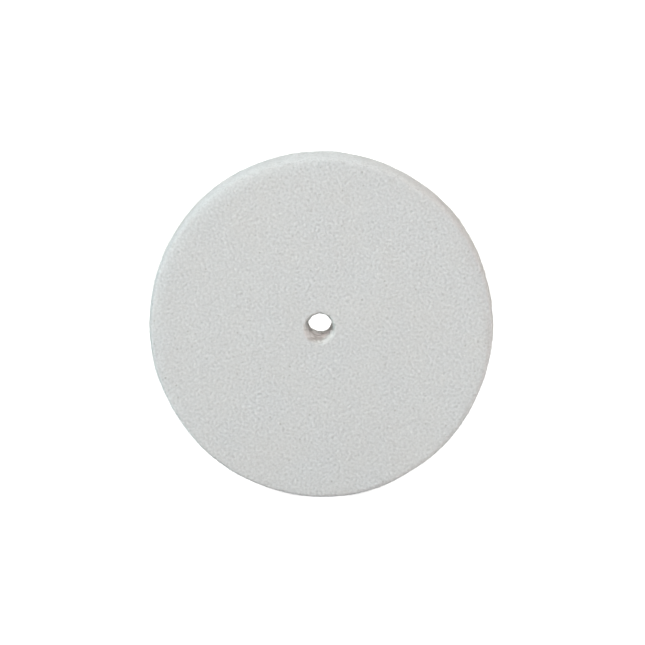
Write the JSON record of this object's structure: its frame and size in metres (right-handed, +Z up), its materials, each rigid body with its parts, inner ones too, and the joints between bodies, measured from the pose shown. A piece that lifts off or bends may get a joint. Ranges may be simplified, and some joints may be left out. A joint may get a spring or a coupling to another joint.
{
  "type": "felt polishing wheel",
  "caption": "Thick flat disc of hard white pressed felt with softly rounded edges and a small central arbor bore that opens out at its front mouth.",
  "frame": {"origin": "centre of the wheel, on the spin axis, midway between its two faces", "axes": "+Y along the spin axis from the front face to the back face, +Z up, +X to the right as seen from the front; the front face, with the flared bore mouth, looks along -Y"},
  "size_m": [0.15, 0.025, 0.15],
  "materials": {
    "pressed_felt": "matte"
  },
  "bodies": {
    "root": {"felt_wheel": "pressed_felt"}
  },
  "joints": []
}
